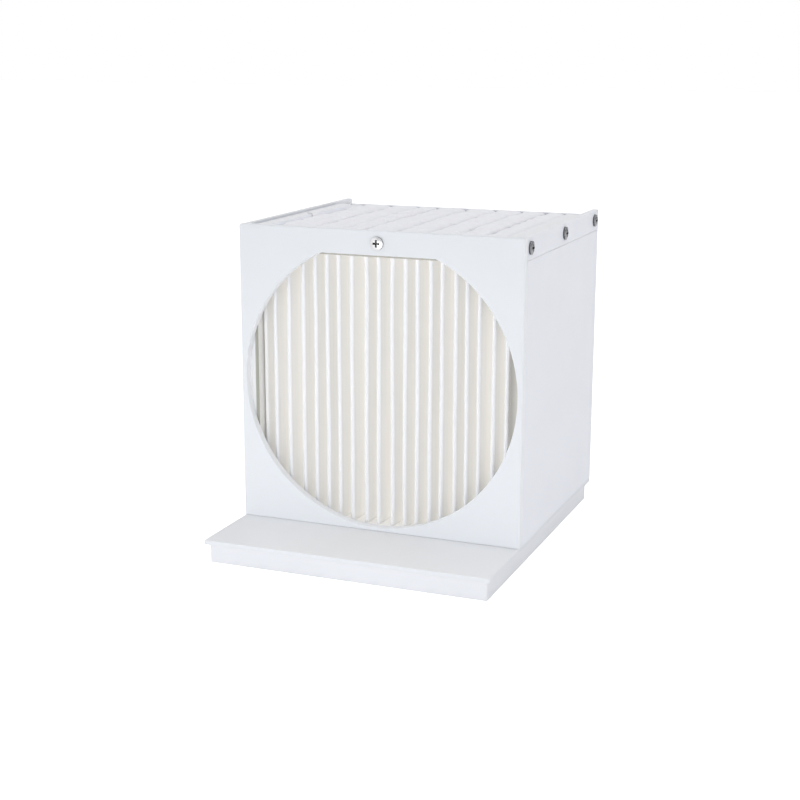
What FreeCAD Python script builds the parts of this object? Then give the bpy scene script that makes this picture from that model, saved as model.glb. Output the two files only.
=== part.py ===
import FreeCAD, Part
import math
import os
from FreeCAD import Placement, Rotation, Vector
from Sketcher import Constraint

# Filter cartridge of a bench-top fume extractor.
# Frame: +X right, +Y to the back, +Z up. Origin: centre of the overall footprint, on the
# underside of the skirt.
# A sheet-plastic case stands on a ledged base. A cassette (front plate, pleated pack,
# partition) slides in from the front and is locked by one screw; a fleece pad lies in a rail
# frame in the open top.

# alias, value, what it measures
SIZES = [
    # case
    ("case_width", 180.0, "outside width of the case and of the base plate"),
    ("case_height", 183.0, "ledge top to the top edge of the plate and side walls"),
    ("case_depth", 162.0, "front plate face to rear wall face"),
    ("ledge_depth", 54.0, "how far the base plate runs forward of the front plate"),
    ("wall_thick", 4.0, "side and rear sheet"),
    ("rear_drop", 3.3, "rear wall's top edge below the side walls' top edge"),
    # base
    ("base_thick", 3.0, "base plate"),
    ("base_round", 0.7, "edge round of the base plate"),
    ("skirt_height", 11.5, "skirt under the base plate"),
    ("skirt_thick", 4.0, "skirt strips"),
    ("skirt_inset_front", 3.0, "lip over the skirt at the front"),
    ("skirt_inset_side", 2.5, "lip over the skirt at the sides"),
    ("skirt_inset_rear", 2.0, "lip over the skirt at the back"),
    ("skirt_round", 1.2, "skirt's outer corner round"),
    # front plate
    ("plate_thick", 5.0, "front plate"),
    ("plate_gap", 0.05, "front plate's lower edge above the ledge"),
    ("plate_round", 0.5, "edge round of the front plate"),
    ("inlet_radius", 87.0, "inlet opening"),
    ("inlet_centre_up", 89.4, "inlet centre above the ledge"),
    ("inlet_chord_up", 168.5, "flat top of the inlet above the ledge"),
    ("bridge_screw_drop", 7.3, "front screw below the plate's top edge"),
    # top clamp strips and their screws
    ("strip_thick", 2.0, "clamp strip, let into the side wall"),
    ("strip_height", 13.5, "rebate for the clamp strip"),
    ("strip_fit", 0.05, "clamp strip's lower edge above the rebate's floor"),
    ("strip_round", 0.4, "edge round of the clamp strips and of the rear wall's top"),
    ("screw_count", 3, "screws in a clamp strip"),
    ("screw_first", 10.0, "first strip screw behind the front plate's face"),
    ("screw_spacing", 71.0, "strip screw to strip screw"),
    ("screw_drop", 6.3, "strip screws below the top edge"),
    ("head_radius", 3.9, "pan head"),
    ("head_height", 1.9, "pan head"),
    ("head_crown", 0.7, "crown of the pan head above its rim"),
    ("shank_radius", 1.95, "screw shank"),
    ("tip_taper", 0.8, "taper at the shank's end, inward and along"),
    ("strip_shank", 12.4, "strip screw under the head"),
    ("plate_shank", 12.0, "front screw under the head"),
    ("tap_radius", 2.0, "hole the screw bites into"),
    ("clear_radius", 2.2, "clearance hole"),
    ("cross_span", 4.4, "cross recess, tip to tip"),
    ("cross_width", 1.15, "cross recess, slot width"),
    ("cross_deep", 1.5, "cross recess, depth"),
    ("washer_radius", 3.9, "spacer washer"),
    # rails
    ("rail_gap", 2.0, "side wall to rail, kept by the spacer washers"),
    ("rail_thick", 8.1, "rail's upright bar"),
    ("rail_deep", 15.0, "rail's underside below the top edge"),
    ("rail_drop", 1.05, "rail's top below the top edge"),
    ("tap_skin", 1.1, "what the blind screw holes leave of the upright"),
    ("notch_drop", 3.7, "rail's notched rear end below the top edge"),
    ("notch_long", 22.0, "rail's notch, from its rear end"),
    ("flange_in", 6.0, "rail's flange inward of the upright"),
    ("flange_thick", 2.0, "rail's flange"),
    ("slip", 0.2, "assembly gap behind the front plate"),
    ("bar_thick", 6.0, "front crossbar"),
    ("bar_drop", 1.6, "front crossbar's top below the top edge"),
    ("tail_thick", 5.0, "rear crossbar"),
    ("tail_height", 1.5, "rear crossbar, level with the pad floor"),
    ("tail_back", 0.5, "rear crossbar to rear wall"),
    # fleece pad and the floor it lies on
    ("floor_thick", 1.5, "pad floor"),
    ("floor_side_gap", 0.3, "pad floor to each rail's upright"),
    ("floor_end_gap", 0.1, "pad floor to each crossbar"),
    ("floor_solid", 48.0, "closed front part of the pad floor, from its front edge"),
    ("slot_count", 12, "slots in a row"),
    ("slot_wide", 9.0, "slots in the pad floor"),
    ("slot_pitch", 12.4, "slot to slot"),
    ("slot_long", 41.0, "slot length"),
    ("slot_bridge", 4.0, "between the two rows of slots"),
    ("pad_lift", 0.1, "fleece pad above the pad floor"),
    ("puff_pitch", 18.5, "one fleece strip"),
    ("puff_count", 8, "fleece strips"),
    ("puff_height", 9.3, "fleece strip"),
    ("puff_round", 6.0, "fleece strip's shoulders"),
    ("puff_long", 144.8, "fleece strips, front to back"),
    ("puff_start", 12.6, "fleece pad behind the front plate's face"),
    ("tab_at", 58.9, "pull tab's front edge behind the pad's front end"),
    ("tab_long", 10.0, "pull tab along the pad"),
    ("tab_thick", 0.75, "pull tab"),
    ("tab_inset", 0.5, "pull tab's leg inward of the pad's side"),
    ("tab_sunk", 0.5, "pull tab's foot below the start of the shoulder"),
    ("tab_out", 5.2, "pull tab outward of the pad, over the rail"),
    ("tab_top", 11.3, "pull tab's top above the pad's underside"),
    # pleated pack and its frame
    ("pleat_pitch", 8.1, "fold to fold"),
    ("pleat_count", 20, "front folds"),
    ("pleat_deep", 40.0, "fold tip to fold tip, front to back"),
    ("pleat_skin", 0.8, "media thickness"),
    ("pleat_inner", 0.4, "inside radius of a fold"),
    ("pack_back", 9.0, "front folds behind the front plate's face"),
    ("pack_lift", 0.3, "pack frame above the base plate"),
    ("board_thin", 1.0, "top and bottom boards"),
    ("board_side", 4.4, "side boards"),
    ("board_set", 5.3, "side boards' front edge behind the plate's face"),
    ("pack_top", 167.9, "pack frame's top above the ledge"),
    ("part_thick", 3.0, "partition sheet"),
    ("part_side_gap", 0.6, "partition to side wall"),
    ("part_rim", 6.4, "partition's rim round its opening"),
    ("part_top", 167.4, "partition's top above the ledge"),
    ("foam_thick", 2.8, "foam seal behind the partition"),
    ("foam_wide", 5.4, "foam seal"),
    ("foam_in", 0.4, "foam seal inward of the partition's edge"),
    # stops the foam closes against
    ("stop_back", 55.0, "stops behind the front plate's face"),
    ("stop_thick", 5.0, "stops, front to back"),
    ("stop_wide", 6.0, "stops, out from the wall or up from the base"),
    ("header_height", 10.0, "header stop below the rails"),
    ("header_gap", 0.1, "header stop's raised part to each rail's flange"),
]


class Dim:
    """A size: its value, and the spreadsheet expression that gives it."""

    def __init__(self, value, text):
        self.value = float(value)
        self.text = text

    def combine(self, other, sign, rule):
        other = to_dim(other)
        return Dim(rule(self.value, other.value), "(%s %s %s)" % (self.text, sign, other.text))

    def __add__(self, other):
        return self.combine(other, "+", lambda a, b: a + b)

    def __sub__(self, other):
        return self.combine(other, "-", lambda a, b: a - b)

    def __mul__(self, other):
        return self.combine(other, "*", lambda a, b: a * b)

    def __truediv__(self, other):
        return self.combine(other, "/", lambda a, b: a / b)

    def __rmul__(self, other):
        return to_dim(other) * self

    def __neg__(self):
        return to_dim(0) - self


def to_dim(number):
    return number if isinstance(number, Dim) else Dim(number, "%g" % number)


class Sizes:
    """Holds one Dim for each alias of the spreadsheet."""


doc = FreeCAD.newDocument("filter_cartridge")
sheet = doc.addObject("Spreadsheet::Sheet", "dims")
size = Sizes()
for line_no, (alias, value, note) in enumerate(SIZES, 1):
    sheet.set("A%d" % line_no, note)
    sheet.set("B%d" % line_no, "%g" % value)
    sheet.setAlias("B%d" % line_no, alias)
    setattr(size, alias, Dim(value, "dims." + alias))
doc.recompute()

# ---------------------------------------------------------------- sketches
# Sketcher's codes: points of a geometry, then its built-in origin and axes
START, END, CENTRE = 1, 2, 3
ORIGIN = X_AXIS = -1
Y_AXIS = -2

TINY = 1e-9         # sketch coordinates closer than this are equal
TOUCH = 1e-6        # an edge this close to a plane lies in it
OVERCUT = 1.0       # how far a cut runs out into the open


def new_sketch(body, plane, name):
    """A sketch on the body's XY, XZ or YZ plane."""
    sketch = body.newObject("Sketcher::SketchObject", body.Name + "_" + name)
    support = [o for o in body.Origin.OriginFeatures if o.Role == plane + "_Plane"][0]
    sketch.AttachmentSupport = [(support, "")]
    sketch.MapMode = "FlatFace"
    return sketch


def shift(sketch, distance):
    """Moves a sketch along its plane's normal (-Y for an XZ sketch)."""
    sketch.AttachmentOffset = Placement(Vector(0, 0, distance.value), Rotation())
    sketch.setExpression("AttachmentOffset.Base.z", distance.text)
    doc.recompute()


def relate(sketch, *constraints):
    for constraint in constraints:
        sketch.addConstraint(Constraint(*constraint))


def bind(sketch, dim, kind, *refs):
    """A constraint whose value comes from the spreadsheet."""
    index = sketch.addConstraint(Constraint(kind, *refs, dim.value))
    sketch.setExpression("Constraints[%d]" % index, dim.text)


def hold(sketch, axis, geo, point, dim):
    """Holds a sketch point at a signed distance from the origin along axis "X" or "Y"."""
    dim = to_dim(dim)
    if abs(dim.value) < TINY:
        relate(sketch, ("PointOnObject", geo, point, Y_AXIS if axis == "X" else X_AXIS))
    elif dim.value > 0:
        bind(sketch, dim, "Distance" + axis, ORIGIN, START, geo, point)
    else:
        bind(sketch, -dim, "Distance" + axis, geo, point, ORIGIN, START)


def add_line(sketch, start, end):
    return sketch.addGeometry(Part.LineSegment(Vector(*start, 0), Vector(*end, 0)), False)


def add_arc(sketch, centre, radius, start, end):
    ring = Part.Circle(Vector(*centre, 0), Vector(0, 0, 1), radius)
    return sketch.addGeometry(Part.ArcOfCircle(ring, start, end), False)


def add_circle(sketch, x, y, radius):
    x, y = to_dim(x), to_dim(y)
    ring = Part.Circle(Vector(x.value, y.value, 0), Vector(0, 0, 1), radius.value)
    geo = sketch.addGeometry(ring, False)
    bind(sketch, radius, "Radius", geo)
    hold(sketch, "X", geo, CENTRE, x)
    hold(sketch, "Y", geo, CENTRE, y)


def add_outline(sketch, points):
    """A closed outline of level and upright lines, every line held by the sheet."""
    points = [(to_dim(x), to_dim(y)) for x, y in points]
    spans = list(zip(points, points[1:] + points[:1]))
    lines = [add_line(sketch, (a[0].value, a[1].value), (b[0].value, b[1].value))
             for a, b in spans]
    for line, following in zip(lines, lines[1:] + lines[:1]):
        relate(sketch, ("Coincident", line, END, following, START))
    for line, (a, b) in zip(lines, spans):
        if abs(a[1].value - b[1].value) < TINY:
            relate(sketch, ("Horizontal", line))
            hold(sketch, "Y", line, START, a[1])
        else:
            relate(sketch, ("Vertical", line))
            hold(sketch, "X", line, START, a[0])


def rectangle(x0, y0, x1, y1):
    return [(x0, y0), (x1, y0), (x1, y1), (x0, y1)]


def outline_sketch(body, plane, name, points):
    sketch = new_sketch(body, plane, name)
    add_outline(sketch, points)
    return sketch


# ---------------------------------------------------------------- features
PIECES = []     # (body, expected number of solids)


def new_body(label, solids=1):
    body = doc.addObject("PartDesign::Body", label)
    body.Label = label
    body.AllowCompound = solids > 1
    PIECES.append((body, solids))
    return body


def place(body, x, y, z, rotation=None):
    """Moves a body into the case. Comes last, as edges are picked in the body's own frame."""
    if rotation:
        body.Placement = Placement(Vector(0, 0, 0), rotation)
    for axis, distance in zip("xyz", (x, y, z)):
        body.setExpression("Placement.Base." + axis, to_dim(distance).text)


def drive(feature, name, dim):
    setattr(feature, name, dim.value)
    feature.setExpression(name, dim.text)


def normal_is_minus_y(sketch):
    """An XZ sketch's normal is -Y, so its features are turned round to run along +Y."""
    return sketch.AttachmentSupport[0][0].Role == "XZ_Plane"


def pad(body, sketch, length, name="pad"):
    """Extrudes a sketch along +X, +Y or +Z."""
    feature = body.newObject("PartDesign::Pad", body.Name + "_" + name)
    feature.Profile = sketch
    drive(feature, "Length", length)
    feature.Reversed = normal_is_minus_y(sketch)
    doc.recompute()
    return feature


def cut(body, sketch, name, depth=None):
    """Cuts a sketch along +X, +Y or +Z, right through if no depth is given."""
    before = body.Shape.Volume
    feature = body.newObject("PartDesign::Pocket", body.Name + "_" + name)
    feature.Profile = sketch
    if depth is None:
        feature.Type = "ThroughAll"
    else:
        drive(feature, "Length", depth)
    feature.Reversed = not normal_is_minus_y(sketch)
    doc.recompute()
    if not body.Shape.Volume < before - 1e-3:
        raise RuntimeError("pocket %s took nothing away" % feature.Name)
    return feature


def row(body, features, sketch, count, pitch, name):
    """Repeats features along the sketch's horizontal axis."""
    pattern = body.newObject("PartDesign::LinearPattern", body.Name + "_" + name)
    pattern.Originals = features
    pattern.Direction = (sketch, ["H_Axis"])
    drive(pattern, "Length", pitch * (count - 1))
    pattern.Occurrences = int(count.value)
    pattern.setExpression("Occurrences", count.text)
    body.Tip = pattern
    doc.recompute()


def pick_edges(body, test):
    """Names of the edges whose bounding box passes the test."""
    return ["Edge%d" % i for i, edge in enumerate(body.Shape.Edges, 1) if test(edge.BoundBox)]


def fillet(body, feature, names, radius):
    if not names:
        raise RuntimeError("no edges to round on " + body.Name)
    rounding = body.newObject("PartDesign::Fillet", body.Name + "_round")
    rounding.Base = (feature, names)
    drive(rounding, "Radius", radius)
    doc.recompute()


def block(label, width, depth, height):
    """A block from its own origin to +X, +Y and +Z; returns the body and its pad."""
    body = new_body(label)
    sketch = outline_sketch(body, "XY", "outline", rectangle(0, 0, width, depth))
    return body, pad(body, sketch, height)


def plain_blocks(table):
    """Blocks from a table of label, (width, depth, height), (x, y, z)."""
    for label, extent, corner in table:
        body, _ = block(label, *extent)
        place(body, *corner)


def screw_hole_row(body, y, z, radius, depth=None, start=None):
    """The strip screws' holes, cut along +X from the given start."""
    sketch = new_sketch(body, "YZ", "hole")
    add_circle(sketch, y, z, radius)
    if start:
        shift(sketch, start)
    hole = cut(body, sketch, "hole", depth)
    row(body, [hole], sketch, size.screw_count, size.screw_spacing, "holes")


# ---------------------------------------------------------------- shared places
WIDTH, HEIGHT, DEPTH = size.case_width, size.case_height, size.case_depth
WALL, PLATE = size.wall_thick, size.plate_thick

LEFT, RIGHT = -WIDTH / 2, WIDTH / 2                 # side walls' outer faces
FACE_Y = (size.ledge_depth - DEPTH) / 2             # front plate's front face
LEDGE_Y = -(DEPTH + size.ledge_depth) / 2           # ledge's front edge
REAR_Y = -LEDGE_Y                                   # rear wall's outer face
LEDGE_Z = size.skirt_height + size.base_thick       # top of the ledge
TOP_Z = LEDGE_Z + HEIGHT                            # top edge of the case

WALL_LONG = DEPTH - PLATE                           # back of the front plate to the rear
INSIDE_WIDTH = WIDTH - 2 * WALL
SCREW_Y = FACE_Y + size.screw_first                 # first strip screw
SCREW_Z = TOP_Z - size.screw_drop                   # strip screws
SCREW_TOTAL = int(size.screw_count.value)

RAIL_Y = FACE_Y + PLATE + size.slip                 # rail frame's front end
RAIL_LONG = WALL_LONG - size.slip - WALL
RAIL_WIDTH = size.rail_gap + size.rail_thick + size.flange_in
FLANGE_Z = TOP_Z - size.rail_deep + size.flange_thick       # top of the rails' flanges
FRAME_WIDTH = INSIDE_WIDTH - 2 * (size.rail_gap + size.rail_thick)  # between the uprights

PACK_WIDTH = size.pleat_pitch * size.pleat_count
PACK_END = size.pack_back + size.pleat_deep         # pack's back behind the front plate's face
PACK_Z = LEDGE_Z + size.pack_lift
PACK_HEIGHT = size.pack_top - size.pack_lift
PARTITION_WIDTH = INSIDE_WIDTH - 2 * size.part_side_gap
PARTITION_HEIGHT = size.part_top - size.pack_lift

SIDES = ("left", "right")


def side_x(side, inset=0, width=0):
    """Lower x of a thing of this width, set in from the case's left or right face."""
    return LEFT + inset if side == "left" else RIGHT - inset - width


def for_side(side, points, width):
    """A left-hand section, its outer face at x = 0, mirrored if the side is right."""
    return points if side == "left" else [(width - x, z) for x, z in points]


# ---------------------------------------------------------------- base
def base_plate():
    body, plate = block("base_plate", WIDTH, DEPTH + size.ledge_depth, size.base_thick)
    fillet(body, plate, pick_edges(body, lambda box: True), size.base_round)
    place(body, LEFT, LEDGE_Y, size.skirt_height)


def skirt():
    """Four set-back strips; the front and rear ones have the rounded corners."""
    thick, inset = size.skirt_thick, size.skirt_inset_side
    front_y = LEDGE_Y + size.skirt_inset_front
    rear_y = REAR_Y - size.skirt_inset_rear - thick
    for label, y, outer in (("skirt_front", front_y, 0.0),
                            ("skirt_rear", rear_y, thick.value)):
        body, strip = block(label, WIDTH - 2 * inset, thick, size.skirt_height)
        corners = pick_edges(body, lambda box: box.ZLength > 1 and abs(box.YMin - outer) < TOUCH)
        fillet(body, strip, corners, size.skirt_round)
        place(body, LEFT + inset, y, 0)
    extent = (thick, rear_y - front_y - thick, size.skirt_height)
    plain_blocks([("skirt_" + side, extent, (side_x(side, inset, thick), front_y + thick, 0))
                  for side in SIDES])


# ---------------------------------------------------------------- case
def side_walls():
    """Side walls, rebated outside at the top for the clamp strips."""
    rebate_x, rebate_z = size.strip_thick, HEIGHT - size.strip_height
    section = [(to_dim(0), 0), (WALL, 0), (WALL, HEIGHT), (rebate_x, HEIGHT),
               (rebate_x, rebate_z), (to_dim(0), rebate_z)]
    for side in SIDES:
        body = new_body(side + "_side_wall")
        sketch = outline_sketch(body, "XZ", "section", for_side(side, section, WALL))
        pad(body, sketch, WALL_LONG)
        screw_hole_row(body, size.screw_first - PLATE, HEIGHT - size.screw_drop,
                       size.clear_radius)
        place(body, side_x(side, 0, WALL), FACE_Y + PLATE, LEDGE_Z)


def rear_wall():
    body, wall = block("rear_wall", INSIDE_WIDTH, WALL, HEIGHT - size.rear_drop)
    top_edges = pick_edges(body, lambda box: box.XLength > 1 and box.ZMin > 10)
    fillet(body, wall, top_edges, size.strip_round)
    place(body, LEFT + WALL, REAR_Y - WALL, LEDGE_Z)


def clamp_strips():
    """Strips in the side walls' rebates, their long outer edges rounded."""
    thick, height = size.strip_thick, size.strip_height - size.strip_fit
    for side in SIDES:
        body, strip = block(side + "_clamp_strip", thick, WALL_LONG, height)
        outer = 0.0 if side == "left" else thick.value
        long_edges = pick_edges(
            body, lambda box: box.YLength > 1 and abs(box.XMin - outer) < TOUCH)
        fillet(body, strip, long_edges, size.strip_round)
        screw_hole_row(body, size.screw_first - PLATE, height - size.screw_drop,
                       size.clear_radius)
        place(body, side_x(side, 0, thick), FACE_Y + PLATE, TOP_Z - height)


# ---------------------------------------------------------------- screws and washers
def screw_blank(body, length):
    """The turned screw: seat at z = 0, shank below, head above; returns sketch and feature."""
    sketch = new_sketch(body, "XZ", "profile")
    head, shank, crown_rise = size.head_radius, size.shank_radius, size.head_crown
    rim, top, taper = size.head_height - crown_rise, size.head_height, size.tip_taper
    # half section: end, taper, shank, seat, rim
    points = [(0.0, -length.value), (shank.value - taper.value, -length.value),
              (shank.value, taper.value - length.value), (shank.value, 0.0),
              (head.value, 0.0), (head.value, rim.value)]
    lines = [add_line(sketch, a, b) for a, b in zip(points, points[1:])]
    end, slope, side, seat, rim_side = lines
    # crown: an arc from the rim to the axis, centred on the axis
    radius = (head.value ** 2 + crown_rise.value ** 2) / (2 * crown_rise.value)
    centre_z = top.value - radius
    rim_angle = math.atan2(rim.value - centre_z, head.value)
    crown = add_arc(sketch, (0, centre_z), radius, rim_angle, math.pi / 2)
    axis = add_line(sketch, (0, top.value), (0, -length.value))
    for line, following in zip(lines, lines[1:]):
        relate(sketch, ("Coincident", line, END, following, START))
    relate(sketch,
           ("Coincident", rim_side, END, crown, START),
           ("Coincident", crown, END, axis, START),
           ("Coincident", axis, END, end, START),
           ("PointOnObject", axis, START, Y_AXIS),
           ("PointOnObject", axis, END, Y_AXIS),
           ("PointOnObject", crown, CENTRE, Y_AXIS),
           ("Horizontal", end), ("Vertical", side),
           ("Horizontal", seat), ("Vertical", rim_side),
           ("PointOnObject", seat, START, X_AXIS))
    hold(sketch, "X", side, START, shank)
    hold(sketch, "X", rim_side, START, head)
    hold(sketch, "Y", rim_side, END, rim)
    hold(sketch, "Y", crown, END, top)
    hold(sketch, "Y", end, START, -length)
    bind(sketch, taper, "DistanceX", end, END, slope, END)
    bind(sketch, taper, "DistanceY", end, END, slope, END)
    turned = body.newObject("PartDesign::Revolution", body.Name + "_turned")
    turned.Profile = sketch
    turned.ReferenceAxis = (sketch, ["V_Axis"])
    turned.Angle = 360
    doc.recompute()
    return sketch, turned


def cross_recess(body):
    """A plus sign cut from the recess's floor up through the crown."""
    k, q = size.cross_width / 2, size.cross_span / 2
    plus = [(q, -k), (q, k), (k, k), (k, q), (-k, q), (-k, k),
            (-q, k), (-q, -k), (-k, -k), (-k, -q), (k, -q), (k, -k)]
    sketch = outline_sketch(body, "XY", "cross", plus)
    shift(sketch, size.head_height - size.cross_deep)
    return cut(body, sketch, "recess", size.head_height + OVERCUT)


def strip_screws():
    """The strips' screws: local Z points out of the side wall, local X to the back."""
    for side, outward in (("left", -1), ("right", 1)):
        body = new_body(side + "_strip_screws", SCREW_TOTAL)
        sketch, turned = screw_blank(body, size.strip_shank)
        recess = cross_recess(body)
        row(body, [turned, recess], sketch, size.screw_count, size.screw_spacing, "three")
        rotation = Rotation(Vector(0, 1, 0), Vector(0, 0, outward), Vector(outward, 0, 0),
                            "ZXY")
        place(body, side_x(side), SCREW_Y, SCREW_Z, rotation)


def front_plate_screw():
    body = new_body("front_plate_screw")
    screw_blank(body, size.plate_shank)
    cross_recess(body)
    head_to_front = Rotation(Vector(1, 0, 0), 90)
    place(body, 0, FACE_Y, TOP_Z - size.bridge_screw_drop, head_to_front)


def spacer_washers():
    """Washers between side wall and rail."""
    for side in SIDES:
        body = new_body(side + "_spacer_washers", SCREW_TOTAL)
        sketch = new_sketch(body, "YZ", "ring")
        add_circle(sketch, 0, 0, size.washer_radius)
        add_circle(sketch, 0, 0, size.clear_radius)
        washer = pad(body, sketch, size.rail_gap)
        row(body, [washer], sketch, size.screw_count, size.screw_spacing, "three")
        place(body, side_x(side, WALL, size.rail_gap), SCREW_Y, SCREW_Z)


# ---------------------------------------------------------------- rail frame in the open top
def rails():
    """Upright bars on flanges, with blind screw holes from the wall's side."""
    flange, deep = size.flange_thick, size.rail_deep
    outer, inner = size.rail_gap, size.rail_gap + size.rail_thick
    top = deep - size.rail_drop
    section = [(to_dim(0), 0), (RAIL_WIDTH, 0), (RAIL_WIDTH, flange), (inner, flange),
               (inner, top), (outer, top), (outer, flange), (to_dim(0), flange)]
    for side in SIDES:
        body = new_body(side + "_rail")
        sketch = outline_sketch(body, "XZ", "section", for_side(side, section, RAIL_WIDTH))
        pad(body, sketch, RAIL_LONG)
        if side == "left":
            reach = {"depth": inner - size.tap_skin}
        else:
            reach = {"start": size.flange_in + size.tap_skin}
        screw_hole_row(body, size.screw_first - PLATE - size.slip, deep - size.screw_drop,
                       size.tap_radius, **reach)
        # the rear end is notched down below the rear wall's edge
        notch = outline_sketch(body, "YZ", "notch", rectangle(
            RAIL_LONG - size.notch_long, deep - size.notch_drop,
            RAIL_LONG + OVERCUT, deep + OVERCUT))
        cut(body, notch, "notch")
        place(body, side_x(side, WALL, RAIL_WIDTH), RAIL_Y, TOP_Z - deep)


def front_crossbar():
    """Bar with the front screw's hole."""
    body = new_body("front_crossbar")
    to_top = size.rail_deep - size.flange_thick     # bar's underside to the case's top edge
    sketch = outline_sketch(body, "XZ", "face",
                            rectangle(0, 0, FRAME_WIDTH, to_top - size.bar_drop))
    add_circle(sketch, FRAME_WIDTH / 2, to_top - size.bridge_screw_drop, size.tap_radius)
    pad(body, sketch, size.bar_thick)
    place(body, -FRAME_WIDTH / 2, RAIL_Y, FLANGE_Z)


def rear_crossbar():
    y = REAR_Y - WALL - size.tail_back - size.tail_thick
    plain_blocks([("rear_crossbar", (FRAME_WIDTH, size.tail_thick, size.tail_height),
                   (-FRAME_WIDTH / 2, y, FLANGE_Z))])


def pad_support_grid():
    """Pad floor: closed over the dirty-air space in front, slotted over the clean chamber."""
    width = FRAME_WIDTH - 2 * size.floor_side_gap
    depth = (RAIL_LONG - size.bar_thick - size.tail_back - size.tail_thick
             - 2 * size.floor_end_gap)
    body, _ = block("pad_support_grid", width, depth, size.floor_thick)
    slots_width = (size.slot_count - 1) * size.slot_pitch + size.slot_wide
    x = (width - slots_width) / 2
    for i, name in enumerate(("near", "far")):
        y = size.floor_solid + i * (size.slot_long + size.slot_bridge)
        sketch = outline_sketch(body, "XY", "slot_" + name, rectangle(
            x, y, x + size.slot_wide, y + size.slot_long))
        slot = cut(body, sketch, "slot_" + name)
        row(body, [slot], sketch, size.slot_count, size.slot_pitch, "slots_" + name)
    place(body, -width / 2, RAIL_Y + size.bar_thick + size.floor_end_gap, FLANGE_Z)


# ---------------------------------------------------------------- fleece pad
def outlet_pad():
    """Fleece strips with rounded shoulders, and a pull tab on the left side."""
    body = new_body("outlet_pad")
    pitch, height, shoulder = size.puff_pitch, size.puff_height, size.puff_round
    wide, high, radius = pitch.value, height.value, shoulder.value
    spring = high - radius          # height at which the shoulders start
    sketch = new_sketch(body, "XZ", "loaf")
    left = add_line(sketch, (0, spring), (0, 0))
    bottom = add_line(sketch, (0, 0), (wide, 0))
    right = add_line(sketch, (wide, 0), (wide, spring))
    right_arc = add_arc(sketch, (wide - radius, spring), radius, 0, math.pi / 2)
    top = add_line(sketch, (wide - radius, high), (radius, high))
    left_arc = add_arc(sketch, (radius, spring), radius, math.pi / 2, math.pi)
    relate(sketch,
           ("Coincident", left, END, bottom, START),
           ("Coincident", bottom, END, right, START),
           ("Tangent", right, END, right_arc, START),
           ("Tangent", right_arc, END, top, START),
           ("Tangent", top, END, left_arc, START),
           ("Tangent", left_arc, END, left, START),
           ("Coincident", left, END, ORIGIN, START),
           ("Horizontal", bottom), ("Vertical", left), ("Vertical", right),
           ("Equal", right_arc, left_arc))
    bind(sketch, shoulder, "Radius", right_arc)
    hold(sketch, "X", bottom, END, pitch)
    hold(sketch, "Y", top, START, height)
    strip = pad(body, sketch, size.puff_long)
    row(body, [strip], sketch, size.puff_count, pitch, "strips")
    pull_tab(body)
    place(body, -pitch * size.puff_count / 2, FACE_Y + size.puff_start,
          FLANGE_Z + size.floor_thick + size.pad_lift)


def pull_tab(body):
    """A leg sewn to the left strip's shoulder, and an arm that lies over the rail."""
    leg, top, out = size.tab_inset, size.tab_top, size.tab_out
    foot = size.puff_height - size.puff_round - size.tab_sunk
    arm = top - size.tab_thick
    hook = [(leg, foot), (leg + size.tab_thick, foot), (leg + size.tab_thick, top),
            (-out, top), (-out, arm), (leg, arm)]
    sketch = outline_sketch(body, "XZ", "tab", hook)
    shift(sketch, -size.tab_at)
    body.Tip = pad(body, sketch, size.tab_long, "tab_pad")


# ---------------------------------------------------------------- cassette
def front_plate():
    """Front plate with its truncated round inlet and the screw's hole."""
    body = new_body("front_plate")
    height = HEIGHT - size.plate_gap
    pad(body, outline_sketch(body, "XZ", "outline", rectangle(0, 0, WIDTH, height)), PLATE)

    radius, middle = size.inlet_radius, WIDTH / 2
    centre_z = size.inlet_centre_up - size.plate_gap
    chord_z = size.inlet_chord_up - size.plate_gap
    chord_angle = math.asin((chord_z.value - centre_z.value) / radius.value)
    half_chord = radius.value * math.cos(chord_angle)
    inlet = new_sketch(body, "XZ", "inlet")
    arc = add_arc(inlet, (middle.value, centre_z.value), radius.value,
                  math.pi - chord_angle, 2 * math.pi + chord_angle)
    chord = add_line(inlet, (middle.value + half_chord, chord_z.value),
                     (middle.value - half_chord, chord_z.value))
    relate(inlet,
           ("Coincident", arc, END, chord, START),
           ("Coincident", chord, END, arc, START),
           ("Horizontal", chord))
    bind(inlet, radius, "Radius", arc)
    hold(inlet, "X", arc, CENTRE, middle)
    hold(inlet, "Y", arc, CENTRE, centre_z)
    hold(inlet, "Y", chord, START, chord_z)
    cut(body, inlet, "inlet_cut")

    hole = new_sketch(body, "XZ", "screw_hole")
    add_circle(hole, middle, height - size.bridge_screw_drop, size.clear_radius)
    last = cut(body, hole, "screw_cut")
    # every edge of the front face, then the back face's top and side edges
    edges = pick_edges(body, lambda box: box.YMax < TOUCH)
    edges += pick_edges(body, lambda box: (
        box.YMin > PLATE.value - TOUCH and box.XLength + box.ZLength > 20
        and (box.ZMax > HEIGHT.value - 0.2 or box.XLength < TOUCH)))
    fillet(body, last, edges, size.plate_round)
    place(body, LEFT, FACE_Y, LEDGE_Z + size.plate_gap)


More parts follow.
